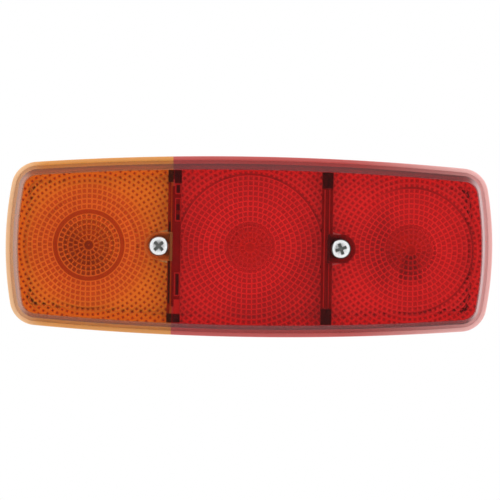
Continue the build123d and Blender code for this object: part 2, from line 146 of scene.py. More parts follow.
# Pillow optics: a ring holds six pillows more than the one inside it, one of them straight above the axis
ring_pitch = 2.53
pillows_per_ring = 6
straight_up = 0.25
edge_calm = 0.4
calm_width = 8.0
ring_steps = 5
turn_steps = 720
seam_edge = (0.08, 0.2)
dot_edge = (0.25, 0.36)

# Heights of the pillows, ring by ring from the axis
ring_count = 31
amber_heights = np.array([0.4] * 6 + [0.03] + [0.16] * 4 + [0.24] * 20)
red_heights = np.full(ring_count, 0.26)

# Lens screws
head_radius = 5.0
head_height = 3.6
head_crown = 0.5
crown_power = 9
head_dish = 0.12
head_corner = 0.4
head_foot = 0.25
recess_zone = 3.2
recess_circles = 36
rim_circles = 14
circle_gap = 0.1
recess_half_width = 0.75
recess_half_length = 2.9
recess_depth = 1.9
recess_end_slope = 0.35
recess_side_slope = 0.25
left_recess_turn = 45.0
right_recess_turn = 20.0
screw_radius = 2.5
screw_low = 44.0
screw_steps = 160

# Bulbs
bulb_high = 59.0
glass_radius = 12.5
glass_wall = 0.6
neck_radius = 7.0
cap_high = 25.0
ball_arc = (-15.0, 89.5)
ball_steps = 28

# Studs and grommet at the back
stud_x = 60.0
stud_reach = 20.0
stud_point = 1.0
stud_radius = 3.0
stud_thread = 0.55
stud_pitch = 1.0
thread_high = 0.6
thread_rows = 170
stud_steps = 48
neck_width = 7.0
neck_low = 0.8
stud_head = 10.0
stud_seat = 5.0
stud_head_height = 4.0
grommet_z = 22.0
grommet_outer = 9.0
grommet_groove = 6.5
grommet_hole = 3.5
grommet_low = 0.5
grommet_high = 7.0
grommet_round = 0.6
groove_low = 2.5
groove_high = 5.0
grommet_cone = ((8.9, 5.4), (7.5, grommet_high))


def facing_out(points, faces):
    """Shell with its faces turned outward.

    The volume inside is summed over triangle fans, and all the faces turn if it is negative.
    """
    volume = 0.0
    for group in faces:
        first = points[group[:, 0]]
        for k in range(1, group.shape[1] - 1):
            volume += np.sum(first * np.cross(points[group[:, k]], points[group[:, k + 1]]))
    return points, [group[:, ::-1] for group in faces] if volume < 0 else faces


def link_mesh(name, shells, material):
    """Object at the origin from closed shells, each a point array in millimetres and lists of faces."""
    shells = [facing_out(*shell) for shell in shells]
    points = np.concatenate([shell[0] for shell in shells])
    starts = np.cumsum([0] + [len(shell[0]) for shell in shells])
    faces = [group + start for shell, start in zip(shells, starts) for group in shell[1]]
    counts = np.concatenate([np.full(len(group), group.shape[1]) for group in faces])
    corners = np.concatenate([group.reshape(-1) for group in faces])
    mesh = bpy.data.meshes.new(name)
    mesh.vertices.add(len(points))
    mesh.vertices.foreach_set("co", (points * MM).astype(np.float32).reshape(-1))
    mesh.loops.add(len(corners))
    mesh.loops.foreach_set("vertex_index", corners.astype(np.int32))
    mesh.polygons.add(len(counts))
    mesh.polygons.foreach_set("loop_start", np.concatenate([[0], np.cumsum(counts)[:-1]]).astype(np.int32))
    mesh.polygons.foreach_set("use_smooth", np.full(len(counts), True))
    mesh.update(calc_edges=True)
    mesh.validate()
    mesh.set_sharp_from_angle(angle=np.radians(sharp_angle))
    mesh.materials.append(material)
    piece = bpy.data.objects.new(name, mesh)
    bpy.context.scene.collection.objects.link(piece)
    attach(piece, "root")
    return piece


def add_piece(name, shells, material, node):
    """Link a piece with its material, and hide the CAD node it stands in for."""
    piece = link_mesh(name, shells, material)
    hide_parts(node)


def amber_piece(name, shells, material):
    """Piece of the amber lens."""
    add_piece(name, shells, material, "amber_lens")


def red_piece(name, shells, material):
    """Piece of the red lens."""
    add_piece(name, shells, material, "red_lens")


def grid_quads(rows, columns, wrap_rows=False, wrap_columns=False):
    """Quads of a grid of points, with the last row or column joined to the first on request."""
    row = np.arange(rows if wrap_rows else rows - 1)[:, None]
    column = np.arange(columns if wrap_columns else columns - 1)[None, :]
    next_row = (row + 1) % rows
    next_column = (column + 1) % columns
    quads = [row * columns + column, next_row * columns + column,
             next_row * columns + next_column, row * columns + next_column]
    return np.stack([np.broadcast_to(q, (row.size, column.size)) for q in quads], axis=-1).reshape(-1, 4)


def capped_grid(rows):
    """Shell of rows of points that each go round, with a flat face on the first row and one on the last."""
    count, columns = rows.shape[:2]
    first = np.arange(columns)[None]
    last = (np.arange(columns)[::-1] + (count - 1) * columns)[None]
    return rows.reshape(-1, 3), [grid_quads(count, columns, wrap_columns=True), first, last]


def full_turn(steps):
    """Angles of a full turn in equal steps, without its end."""
    return np.linspace(0, 2 * np.pi, steps, endpoint=False)


def at_heights(x, z, high):
    """Points of the frame from places on the lens face and heights above the mounting face."""
    x, z, high = np.broadcast_arrays(x, z, high)
    return np.stack([x, -high, z], axis=-1)


def around(x, z, radius, turn, high):
    """Points at a radius and a height round a line along Y: the cosine goes along X and the sine along Z."""
    return at_heights(x + radius * np.cos(turn), z + radius * np.sin(turn), high)


def arc(centre, radius, start, end, steps):
    """Points on a circle between two angles in degrees."""
    angle = np.radians(np.linspace(start, end, steps))
    return np.stack([centre[0] + radius * np.cos(angle), centre[1] + radius * np.sin(angle)], axis=-1)


# Circles that make up the lip's outline: long edges, short edges and the corners that touch both
corner_x = length / 2 - short_edge_bow
corner_z = height / 2 - long_edge_bow
long_radius = (corner_x ** 2 + long_edge_bow ** 2) / (2 * long_edge_bow)
short_radius = (corner_z ** 2 + short_edge_bow ** 2) / (2 * short_edge_bow)
long_centre = np.array([0.0, height / 2 - long_radius])
short_centre = np.array([length / 2 - short_radius, 0.0])


def corner_place():
    """Centre of the corner circle.

    Circles about both edge centres, each smaller by the corner radius, cross there.
    """
    first = long_radius - corner_radius
    second = short_radius - corner_radius
    gap = short_centre - long_centre
    apart = np.hypot(*gap)
    along = (apart ** 2 + first ** 2 - second ** 2) / (2 * apart)
    aside = np.sqrt(first ** 2 - along ** 2)
    unit = gap / apart
    return long_centre + unit * along + np.array([unit[1], -unit[0]]) * aside


corner_centre = corner_place()
long_end_turn = np.degrees(np.arctan2(*(corner_centre - long_centre)[::-1]))
short_end_turn = np.degrees(np.arctan2(*(corner_centre - short_centre)[::-1]))


def half_rim(joint_x, end_side, steps):
    """Rim stations from the joint over a long edge, a corner, the short end and back on the other side.

    Each station has a circle centre, a radius and an outward direction. A point at an inset lies on that
    direction at the radius less the inset. A run leaves out its last station, where the next run starts.
    """
    long_steps, corner_steps, short_steps = steps
    joint_turn = np.degrees(np.arccos(end_side * joint_x / long_radius))
    runs = (
        (long_centre, long_radius, joint_turn, long_end_turn, long_steps),
        (corner_centre, corner_radius, long_end_turn, short_end_turn, corner_steps),
        (short_centre, short_radius, short_end_turn, -short_end_turn, short_steps),
        (corner_centre * (1, -1), corner_radius, -short_end_turn, -long_end_turn, corner_steps),
        (long_centre * (1, -1), long_radius, -long_end_turn, -joint_turn, long_steps),
    )
    centres = np.concatenate([np.repeat([centre], count, axis=0) for centre, _, _, _, count in runs])
    radii = np.concatenate([np.full(count, radius) for _, radius, _, _, count in runs])
    turns = [np.linspace(*run[2:], endpoint=run is runs[-1]) for run in runs]
    turns = np.radians(np.concatenate(turns))
    directions = np.stack([np.cos(turns), np.sin(turns)], axis=-1)
    return centres, radii, directions


def swept_rim(end_side, profile):
    """Closed profile of (inset, height) points carried along one lens's rim, with a flat cap at each end.

    The grid's rows are the rim's stations and its columns the profile's points. The end rows are set on
    the joint.
    """
    centres, radii, directions = half_rim(-divider_x, end_side, rim_steps)
    place = centres[:, None, :] + (radii[:, None] - profile[None, :, 0])[..., None] * directions[:, None, :]
    x = end_side * place[..., 0]
    x[[0, -1]] = -divider_x
    return capped_grid(at_heights(x, place[..., 1], profile[None, :, 1]))


def lip_profile():
    """Section of the lens lip, with round outer edges."""
    lower = arc((lip_round, skirt_foot + lip_round), lip_round, 270, 180, lip_steps)
    upper = arc((lip_round, lip_top - lip_round), lip_round, 180, 90, lip_steps)
    return np.concatenate([lower, upper, [[lip_width, lip_top], [lip_width, skirt_foot]]])


def skirt_profile():
    """Section of the lens skirt: leaning outer face, round face edge and inner wall.

    Two points near the ends of the leaning face keep its shading flat.
    """
    skirt_top = depth - face_round
    lean = np.degrees(np.arctan2(face_inset - face_round - lip_width, skirt_top - lip_top))
    face_edge = arc((face_inset, skirt_top), face_round, 180 - lean, 90, face_steps)
    foot = np.array([lip_width - skirt_overlap, lip_top])
    near_ends = np.array([[0.02], [0.98]])
    slope = foot + near_ends * (face_edge[0] - foot)
    inner = [[window_inset, depth], [window_inset, lens_inner], [hollow_inset, lens_inner - hollow_drop],
             [foot_inset, skirt_foot]]
    return np.concatenate([[foot - (0.0, lip_thickness)], [foot], slope, face_edge, inner])


def ledge_profile():
    """Section of the flat ledge inside the lens's foot, over the seal and the gap beside the plate."""
    return np.array([
        [foot_inset, ledge_low], [foot_inset, ledge_high],
        [ledge_inset, ledge_high], [ledge_inset, ledge_low]])


def ray_to_circle(direction, centre, radius):
    """Distances along rays from the origin to the near crossing with a circle, and which rays cross it.

    The distance is the centre's share along the ray, less the root of the squared radius less the squared
    distance of the centre from the ray.
    """
    along = direction @ centre
    rest = along ** 2 - (centre @ centre - radius ** 2)
    return along - np.sqrt(np.maximum(rest, 0)), rest > 0


def window_reach(centre_x, low_x, high_x, turn):
    """Distance from a lamp's axis to the edge of its window in each direction.

    It is the least of the distances to the two upright edges, to the inset rim and to the screw pockets.
    """
    direction = np.stack([np.cos(turn), np.sin(turn)], axis=-1)
    edge_x = np.where(direction[:, 0] > 0, high_x - centre_x, low_x - centre_x)
    reach = edge_x / np.where(np.abs(direction[:, 0]) < tiny, tiny, direction[:, 0])
    reach = np.where(reach > 0, reach, far_away)
    centres, radii, directions = half_rim(0.0, 1.0, outline_steps)
    half = centres + (radii - window_inset)[:, None] * directions
    outline = np.concatenate([half[:-1], (half * (-1, -1))[:-1]]) - (centre_x, 0.0)
    outline_turn = np.arctan2(outline[:, 1], outline[:, 0])
    reach = np.minimum(reach, np.interp(turn, outline_turn, np.hypot(*outline.T), period=2 * np.pi))
    for side in (1, -1):
        pocket = np.array([side * screw_x - centre_x, 0.0])
        near, crossed = ray_to_circle(direction, pocket, pocket_outer)
        reach = np.where(crossed & (near > 0), np.minimum(reach, near), reach)
    return reach


def pillow_drop(radius, turn, heights):
    """How far the pillows stand out: in each cell a product of two parabolas that are nought at its edges.

    Each ring has a cell straight above the axis, and a height of its own. The middle holds one round dome, a
    parabola of the radius.
    """
    ring = np.floor(radius / ring_pitch)
    across = radius / ring_pitch - ring - 0.5
    along = (turn / (2 * np.pi) - straight_up) * (ring + 1) * pillows_per_ring + 0.5
    along = along - np.floor(along) - 0.5
    dome = 1 - (radius / ring_pitch) ** 2
    return heights[ring.astype(int)] * np.where(ring == 0, dome, (1 - 4 * across ** 2) * (1 - 4 * along ** 2))


def window_slab(centre_x, low_x, high_x, heights):
    """Flat outer face over pillow optics, as a closed slab about a lamp's axis.

    Rows are circles and columns are directions. A point past the window's edge is drawn in to the edge, and
    the circles end there, so the last row follows the window's outline. The pillows grow calmer towards it.
    """
    turn = full_turn(turn_steps)
    reach = window_reach(centre_x, low_x, high_x, turn)
    rings = int(np.ceil(reach.max() / ring_pitch)) + 1
    circles = np.arange(1, rings * ring_steps + 1) * ring_pitch / ring_steps
    radius = np.minimum(circles[:, None], reach[None, :])
    calm = edge_calm + (1 - edge_calm) * np.clip((reach[None, :] - radius) / calm_width, 0, 1)
    high = lens_inner - calm * pillow_drop(radius, turn[None, :], heights)
    under = around(centre_x, 0.0, radius, turn, high).reshape(-1, 3)
    edge = around(centre_x, 0.0, radius[-1], turn, depth)
    poles = at_heights(centre_x, 0.0, np.array([lens_inner - heights[0], depth]))
    points = np.concatenate([under, edge, poles])
    last = np.argmax(circles[:, None] >= reach[None, :], axis=0)
    row = np.minimum(np.arange(len(circles))[:, None], last[None, :])
    column = np.arange(turn_steps)
    index = row * turn_steps + column
    beside = np.roll(index, -1, axis=1)
    near, far = index[:-1], index[1:]
    near_beside, far_beside = beside[:-1], beside[1:]
    here, there = near != far, near_beside != far_beside
    quads = np.stack([near, near_beside, far_beside, far], axis=-1)[here & there]
    left = np.stack([near, near_beside, far], axis=-1)[here & ~there]
    right = np.stack([near, near_beside, far_beside], axis=-1)[~here & there]
    face_edge = column + len(under)
    face_beside = np.roll(face_edge, -1)
    inner_pole = np.full(turn_steps, len(points) - 2)
    outer_pole = np.full(turn_steps, len(points) - 1)
    wall = np.stack([index[-1], beside[-1], face_beside, face_edge], axis=-1)
    outer = np.stack([face_edge, face_beside, outer_pole], axis=-1)
    centre = np.stack([beside[0], index[0], inner_pole], axis=-1)
    return points, [quads, left, right, wall, outer, centre]


# Faces of a box whose first four points are its lower face and whose last four are its upper face
box_faces = np.array([[0, 1, 2, 3], [7, 6, 5, 4], [0, 4, 5, 1], [1, 5, 6, 2], [2, 6, 7, 3], [3, 7, 4, 0]])


def bars(levels, places):
    """Boxes between two levels, each from (low x, low z, high x, high z)."""
    return [(at_heights(
        np.array([low_x, high_x, high_x, low_x] * 2), np.array([low_z, low_z, high_z, high_z] * 2),
        np.repeat(levels, 4)), [box_faces]) for low_x, low_z, high_x, high_z in places]


def frame_places(low_x, low_z, high_x, high_z):
    """Places of the four thin bars of a rectangular ridge in a painted highlight colour."""
    inner_low = low_x + frame_wall
    inner_high = high_x - frame_wall
    return ((low_x, low_z, inner_low, high_z), (inner_high, low_z, high_x, high_z),
            (inner_low, low_z, inner_high, low_z + frame_wall),
            (inner_low, high_z - frame_wall, inner_high, high_z))


def strip(low_x, high_x, low_z=None, high_z=None):
    """Plain strip of the lens face between two upright lines, up to the inset rim edges or to given ends.

    The upper rim edge at an inset is the long circle's centre plus the root of its smaller radius squared
    less x squared, and the lower edge is its mirror image.
    """
    x = np.array([low_x, high_x, high_x, low_x])
    edge = long_centre[1] + np.sqrt((long_radius - window_inset) ** 2 - x ** 2)
    top = edge if high_z is None else np.full(4, high_z)
    bottom = -edge if low_z is None else np.full(4, low_z)
    z = np.where([True, True, False, False], bottom, top)
    return np.concatenate([at_heights(x, z, lens_inner), at_heights(x, z, depth)]), [box_faces]


def pocket_shell(x):
    """Cup of a screw pocket with its boss: a section carried round the screw, with a D beside the divider.

    Away from the divider the wall lies at its radius. Towards it the wall follows a half square: its
    distance is the lesser of radius over sine and straight side over cosine.
    """
    turn = full_turn(pocket_steps)
    to_divider = -np.sign(x) * np.cos(turn)

    def d_shape(radius, gap):
        """Distance of the D's wall in each direction."""
        flat = (abs(x) - divider_x - gap) / np.maximum(to_divider, tiny)
        square = radius / np.maximum(np.abs(np.sin(turn)), tiny)
        return np.where(to_divider > 0, np.minimum(flat, square), radius)

    wall_out = d_shape(pocket_outer, 0.0)
    wall_in = d_shape(pocket_radius, pocket_gap)
    boss = np.full(pocket_steps, boss_radius)
    hole = np.full(pocket_steps, screw_hole)
    cup_low = pocket_floor - lens_wall
    rows = (
        (hole, boss_low), (boss, boss_low), (boss, cup_low), (wall_out, cup_low),
        (wall_out, depth), (wall_in, depth), (wall_in, pocket_floor), (hole, pocket_floor))
    radius = np.stack([row[0] for row in rows])
    high = np.array([row[1] for row in rows])[:, None]
    points = around(x, 0.0, radius, turn, high).reshape(-1, 3)
    return points, [grid_quads(len(rows), pocket_steps, wrap_rows=True, wrap_columns=True)]


def closed_turning(x, z, profile, steps=64):
    """Closed profile of (radius, height) points turned about a line along Y: each point goes round it."""
    points = around(x, z, profile[:, :1], full_turn(steps), profile[:, 1:])
    return points.reshape(-1, 3), [grid_quads(len(profile), steps, wrap_rows=True, wrap_columns=True)]


def lens_screw(x, recess_turn):
    """Pan head with a cross recess over a plain shank.

    The head's top is a crowned disc, lowered by the recess depth where either arm of the cross covers the
    point, with a soft edge. Under it the head's wall, seat and shank go round as circles.
    """
    turn = full_turn(screw_steps)
    circle = np.concatenate([
        np.linspace(tip_radius, recess_zone, recess_circles),
        np.linspace(recess_zone + circle_gap, head_radius - tip_radius, rim_circles)])[:, None]
    share = circle / head_radius
    crown = pocket_floor + head_height - head_crown * share ** crown_power - head_dish * share ** 2
    angle = turn - np.radians(recess_turn)
    along = np.abs(circle * np.cos(angle))
    across = np.abs(circle * np.sin(angle))

    def arm(lengthwise, sideways):
        """One arm of the cross: one inside, nought outside, with a slope of a few tenths between."""
        inside_long = np.clip((recess_half_length - lengthwise) / recess_end_slope, 0, 1)
        inside_wide = np.clip((recess_half_width - sideways) / recess_side_slope, 0, 1)
        return inside_long * inside_wide

    top = crown - recess_depth * np.maximum(arm(along, across), arm(across, along))
    wall = np.array([
        [head_radius, pocket_floor + head_height - head_crown - head_corner],
        [head_radius, pocket_floor + head_foot], [head_radius - head_foot, pocket_floor],
        [screw_radius, pocket_floor], [screw_radius, screw_low], [tip_radius, screw_low]])
    cap = around(x, 0.0, circle, turn, top)
    body = around(x, 0.0, wall[:, :1], turn, wall[:, 1:])
    return capped_grid(np.concatenate([cap, body]))


def bulb_shell(x):
    """Hollow glass of a bulb: neck and ball turned about the lamp's axis, an outer skin and an inner one.

    The outer profile is a straight neck that meets a circle. The inner profile is smaller by the wall.
    """
    centre = bulb_high - glass_radius

    def profile(shrink):
        """Neck point and an arc of the ball from a little under its middle almost to its top."""
        ball = arc((0, centre), glass_radius - shrink, *ball_arc, ball_steps)
        neck = np.array([[neck_radius - shrink, cap_high + shrink / 2]])
        return np.concatenate([neck, ball])

    top = [[tip_radius, bulb_high], [tip_radius, bulb_high - glass_wall]]
    return closed_turning(x, 0.0, np.concatenate([profile(0.0), top, profile(glass_wall)[::-1]]))


def threaded_stud(x):
    """Stud with a thread: the radius falls and rises once for each pitch, later by one pitch for each turn.

    The square neck and the hexagon head are rows of the same grid, with the distance to a flat divided by
    the cosine.
    """
    turn = full_turn(stud_steps)
    high = np.linspace(stud_point - stud_reach, thread_high, thread_rows)[:, None]
    phase = high / stud_pitch + turn / (2 * np.pi)
    wave = np.abs(phase - np.floor(phase) - 0.5) * 2
    thread = around(x, 0.0, stud_radius - stud_thread * wave, turn, high)

    def circle(size, level):
        """One row of points on a circle."""
        return around(x, 0.0, size, turn, level)[None]

    def polygon(width, sides, level):
        """One row of points on a polygon with a given width over its flats."""
        beside = (turn + np.pi / sides) % (2 * np.pi / sides) - np.pi / sides
        return circle(width / 2 / np.cos(beside), level)

    return capped_grid(np.concatenate([
        circle(stud_radius - stud_point, -stud_reach), thread, circle(stud_radius - stud_thread, neck_low),
        polygon(neck_width, 4, neck_low), polygon(neck_width, 4, stud_seat),
        polygon(stud_head, 6, stud_seat), polygon(stud_head, 6, stud_seat + stud_head_height)]))


def grommet_profile():
    """Section of the grommet: round flange, groove for the tray's wall, cone, and a hole with round edges."""
    low = grommet_low + grommet_round
    hole = grommet_hole + grommet_round
    return np.concatenate([
        arc((grommet_outer - grommet_round, low), grommet_round, 270, 360, grommet_steps),
        [[grommet_outer, groove_low], [grommet_groove, groove_low]],
        [[grommet_groove, groove_high], [grommet_outer, groove_high], *grommet_cone],
        arc((hole, grommet_high - grommet_round), grommet_round, 90, 180, grommet_steps),
        arc((hole, low), grommet_round, 180, 270, grommet_steps)])


def wire(tree, value, socket):
    """Link a node's output to a socket, or set a plain value on it."""
    if isinstance(value, bpy.types.NodeSocket):
        tree.links.new(value, socket)
    else:
        socket.default_value = value


def maths(tree, operation, *values):
    """Output of a Math node for up to three values."""
    node = tree.nodes.new("ShaderNodeMath")
    node.operation = operation
    for value, socket in zip(values, node.inputs):
        wire(tree, value, socket)
    return node.outputs[0]


def times(tree, first, second):
    """Product of two values."""
    return maths(tree, "MULTIPLY", first, second)


def plus(tree, first, second):
    """Sum of two values."""
    return maths(tree, "ADD", first, second)


def fade(tree, value, low, high, to_low=0.0, to_high=1.0):
    """Smooth step of a value between two limits."""
    node = tree.nodes.new("ShaderNodeMapRange")
    node.interpolation_type = "SMOOTHSTEP"
    for number, socket in zip((value, low, high, to_low, to_high), node.inputs):
        wire(tree, number, socket)
    return node.outputs[0]


def zone(tree, place, low, high, to_low=0.0, to_high=1.0):
    """Smooth step of a place between two limits in millimetres."""
    return fade(tree, place, low * MM, high * MM, to_low, to_high)


def mixed(tree, share, first, second):
    """Colour between two colours."""
    node = tree.nodes.new("ShaderNodeMix")
    node.data_type = "RGBA"
    for value, socket in zip((share, first, second), (node.inputs[0], node.inputs[6], node.inputs[7])):
        wire(tree, value if isinstance(value, (float, bpy.types.NodeSocket)) else (*value, 1.0), socket)
    return node.outputs[2]


def object_place(tree):
    """Object coordinates."""
    return tree.nodes.new("ShaderNodeTexCoord").outputs["Object"]


def surface_normal(tree):
    """Direction that the surface faces."""
    return tree.nodes.new("ShaderNodeNewGeometry").outputs["Normal"]


def axes_of(tree, vector):
    """X, Y and Z of a vector."""
    node = tree.nodes.new("ShaderNodeSeparateXYZ")
    wire(tree, vector, node.inputs[0])
    return node.outputs["X"], node.outputs["Y"], node.outputs["Z"]


def from_axis(tree, x, z):
    """Distance from an axis: the root of the sum of both squares."""
    return maths(tree, "SQRT", plus(tree, times(tree, x, x), times(tree, z, z)))


def grain(tree, scale, detail=3.0):
    """Noise in Object coordinates, with a scale in lumps for each metre."""
    node = tree.nodes.new("ShaderNodeTexNoise")
    wire(tree, object_place(tree), node.inputs["Vector"])
    wire(tree, scale, node.inputs["Scale"])
    wire(tree, detail, node.inputs["Detail"])
    return node.outputs[0]


def uneven(tree, lumps, rough):
    """Roughness that follows the grain between two values."""
    return fade(tree, lumps, *grain_range, *rough)


def bumped(tree, shader, value, strength):
    """Raise a shader's surface by a value, up to the height of the relief."""
    node = tree.nodes.new("ShaderNodeBump")
    wire(tree, strength, node.inputs["Strength"])
    wire(tree, relief * MM, node.inputs["Distance"])
    wire(tree, value, node.inputs["Height"])
    wire(tree, node.outputs[0], shader.inputs["Normal"])


def new_material(name, **settings):
    """Material with one Principled shader, whose sockets are named with underscores for spaces."""
    material = bpy.data.materials.new(name)
    material.use_nodes = True
    shader = material.node_tree.nodes["Principled BSDF"]
    for key, value in settings.items():
        shader.inputs[key.replace("_", " ")].default_value = value
    return material, material.node_tree, shader


def cell_group():
    """Node group for pillow cells: nearness to side seam, ring seam and cell middle, and the radius.

    The ring is the whole part of radius over pitch. The place along it is the turn from straight up, times
    six times the ring's number, with a cell's middle at straight up.
    """
    group = bpy.data.node_groups.new("pillow_cells", "ShaderNodeTree")
    group.interface.new_socket("Place", in_out="INPUT", socket_type="NodeSocketVector")
    group.interface.new_socket("Axis", in_out="INPUT", socket_type="NodeSocketFloat")
    for name in ("Side", "Ring", "Dot", "Radius"):
        group.interface.new_socket(name, in_out="OUTPUT", socket_type="NodeSocketFloat")
    start = group.nodes.new("NodeGroupInput")
    end = group.nodes.new("NodeGroupOutput")
    place_x, _, z = axes_of(group, start.outputs["Place"])
    x = maths(group, "SUBTRACT", place_x, start.outputs["Axis"])
    radius = from_axis(group, x, z)
    rings = maths(group, "DIVIDE", radius, ring_pitch * MM)
    ring = maths(group, "FLOOR", rings)
    cells = times(group, plus(group, ring, 1.0), float(pillows_per_ring))
    turns = maths(group, "DIVIDE", maths(group, "ARCTAN2", z, x), 2 * np.pi)
    turns = maths(group, "SUBTRACT", turns, straight_up)
    along = maths(group, "PINGPONG", plus(group, times(group, turns, cells), 0.5), 0.5)
    along = maths(group, "MAXIMUM", along, maths(group, "LESS_THAN", ring, 0.5))
    across = maths(group, "PINGPONG", rings, 0.5)
    dot = times(group, fade(group, along, *dot_edge), fade(group, across, *dot_edge))
    wire(group, fade(group, along, *seam_edge, 1.0, 0.0), end.inputs["Side"])
    wire(group, fade(group, across, *seam_edge, 1.0, 0.0), end.inputs["Ring"])
    wire(group, dot, end.inputs["Dot"])
    wire(group, radius, end.inputs["Radius"])
    return group


pillow_cells = cell_group()


def window_plastic(name, axis, tints, band, lit, shaded):
    """See-through lens plastic, with painted light and shade in the tint of its inner face.

    The light seams between the pillows are painted highlights, the deeper cells where shaded are painted
    shade, and the deep band is a painted shade ring. The tints are those of the outer face, the cells, the
    seams, both again where lit with painted light, the painted-shade cells and the band. The band has two
    radii, a direction (x, z) and the shares of that direction between which it comes in. Lit holds the radii
    between which the outer zone is painted lighter, with dark cell middles of painted shade, its share, and
    the height above which the middle over the bulb is painted lighter too. Shaded is a function that gives
    the painted shade from the place beside the axis.
    """
    bulb_edge = (12.0, 14.5)
    soft_height = 2.0
    soft_band = 0.4
    seam_depth = 0.4
    material, tree, shader = new_material(name, Roughness=0.02, Transmission_Weight=1.0, IOR=1.49)
    place = object_place(tree)
    place_x, place_y, z = axes_of(tree, place)
    x = maths(tree, "SUBTRACT", place_x, axis * MM)
    cells = tree.nodes.new("ShaderNodeGroup")
    cells.node_tree = pillow_cells
    wire(tree, place, cells.inputs["Place"])
    wire(tree, axis * MM, cells.inputs["Axis"])
    radius = cells.outputs["Radius"]
    # Painted highlight seams between the pillows
    seams = maths(tree, "MAXIMUM", cells.outputs["Side"], cells.outputs["Ring"])
    # Painted light: the outer zone, and the middle over the bulb above a given height
    outer = zone(tree, radius, lit["low"], lit["high"], 0.0, lit["share"])
    middle = zone(tree, radius, *bulb_edge, 1.0, 0.0)
    above = zone(tree, z, lit["above"] - soft_height, lit["above"] + soft_height)
    light = maths(tree, "MAXIMUM", outer, times(tree, middle, above))
    # Painted shade from the window's shading function
    deeper = shaded(tree, x, z, radius)
    cell = mixed(tree, light, tints["cell"], tints["lit_cell"])
    # Painted shade: dark dots in the cell middles of the outer zone, and darker cells where shaded
    cell = mixed(tree, times(tree, cells.outputs["Dot"], outer), cell, tints["deep"])
    cell = mixed(tree, deeper, cell, tints["deep"])
    # Painted highlight seams, lighter where lit, dimmed where the shade is painted
    seam = mixed(tree, light, tints["seam"], tints["lit_seam"])
    seam = mixed(tree, times(tree, deeper, seam_depth), seam, tints["cell"])
    tint = mixed(tree, seams, cell, seam)
    # Painted shade band: a dark ring, shown over a share of directions
    rise = zone(tree, radius, band["low"] - soft_band, band["low"])
    fall = zone(tree, radius, band["high"], band["high"] + soft_band, 1.0, 0.0)
    towards = plus(tree, times(tree, x, band["towards"][0]), times(tree, z, band["towards"][1]))
    shown = fade(tree, maths(tree, "DIVIDE", towards, radius), *band["shown"])
    tint = mixed(tree, times(tree, times(tree, rise, fall), shown), tint, tints["band"])
    inner_face = maths(tree, "GREATER_THAN", place_y, (lens_wall / 2 - depth) * MM)
    wire(tree, mixed(tree, inner_face, tints["body"], tint), shader.inputs["Base Color"])
    return material


def indicator_shade(tree, x, z, radius):
    """Painted shade: darker cells over the bulb, less so to the upper right."""
    disc = zone(tree, radius, 14.9, 15.4, 1.0, 0.0)
    lower_left = zone(tree, plus(tree, x, z), -6.0, 9.0, 1.0, 0.05)
    return times(tree, disc, lower_left)


def stop_shade(tree, x, z, radius):
    """Painted shade: a little darker to the lower right."""
    return zone(tree, maths(tree, "SUBTRACT", x, z), 10.0, 50.0, 0.0, 0.4)


def tail_shade(tree, x, z, radius):
    """Painted shade: darker cells in a column under the axis that widens downwards, and an arc on the left.
    """
    widening = 0.25
    aside = plus(tree, maths(tree, "ABSOLUTE", x), times(tree, z, widening))
    below = times(tree, zone(tree, z, -17.0, -14.0), zone(tree, z, -3.0, -2.0, 1.0, 0.0))
    column = times(tree, zone(tree, aside, 1.8, 3.0, 1.0, 0.0), below)
    ring = times(tree, zone(tree, radius, 12.0, 13.5), zone(tree, radius, 18.0, 28.0, 0.8, 0.0))
    left = zone(tree, x, -13.0, -7.0, 1.0, 0.0)
    return maths(tree, "MAXIMUM", column, times(tree, ring, left))


def edge_plastic(name, colour, deep_colour, clear, pale=None, pale_from=100.0):
    """Plastic of rims, dividers and pockets: partly clear, with flow marks, and on request paler ends that
    are painted light.
    """
    pale_to = 114.0
    flow_scale = 60.0
    material, tree, shader = new_material(name, Roughness=0.06, Transmission_Weight=clear, IOR=1.49)
    tint = mixed(tree, grain(tree, flow_scale), colour, deep_colour)
    # Painted light: paler from a given distance from the middle out towards the lamp's ends
    if pale:
        outward = maths(tree, "ABSOLUTE", axes_of(tree, object_place(tree))[0])
        tint = mixed(tree, zone(tree, outward, pale_from, pale_to), tint, pale)
    wire(tree, tint, shader.inputs["Base Color"])
    return material


def solid_finish(name, colour, other_colour, scale, rough, bump=0.0, **settings):
    """Opaque finish that wanders between two colours and two roughnesses, with an optional fine relief."""
    relief_scale = 6
    material, tree, shader = new_material(name, **settings)
    lumps = grain(tree, scale)
    wire(tree, mixed(tree, lumps, colour, other_colour), shader.inputs["Base Color"])
    wire(tree, uneven(tree, lumps, rough), shader.inputs["Roughness"])
    if bump:
        bumped(tree, shader, grain(tree, scale * relief_scale), bump)
    return material


def foot_finish(name, colour, other_colour):
    """Satin bright coat of the ledge inside a lens's foot."""
    return solid_finish(name, colour, other_colour, 90.0, (0.30, 0.36), Metallic=1.0)


def tray_finish():
    """Black moulded plastic, bright on faces above the floor that look forward or towards the long axis."""
    bright = (0.85, 0.85, 0.85)
    material, tree, shader = new_material("tray_plastic")
    x, y, z = axes_of(tree, object_place(tree))
    facing_x, facing_y, facing_z = axes_of(tree, surface_normal(tree))
    outward = plus(tree, times(tree, x, facing_x), times(tree, z, facing_z))
    looks_in = zone(tree, outward, -12.0, -8.0, 1.0, 0.0)
    looks_forward = fade(tree, facing_y, -0.9, -0.7, 1.0, 0.0)
    above_floor = zone(tree, y, -4.9, -4.6, 1.0, 0.0)
    inside = times(tree, maths(tree, "MAXIMUM", looks_in, looks_forward), above_floor)
    lumps = grain(tree, 220.0)
    black = mixed(tree, lumps, (0.018, 0.018, 0.018), (0.03, 0.03, 0.03))
    wire(tree, mixed(tree, inside, black, bright), shader.inputs["Base Color"])
    wire(tree, uneven(tree, lumps, (0.42, 0.55)), shader.inputs["Roughness"])
    bumped(tree, shader, grain(tree, 1300.0), 0.25)
    return material


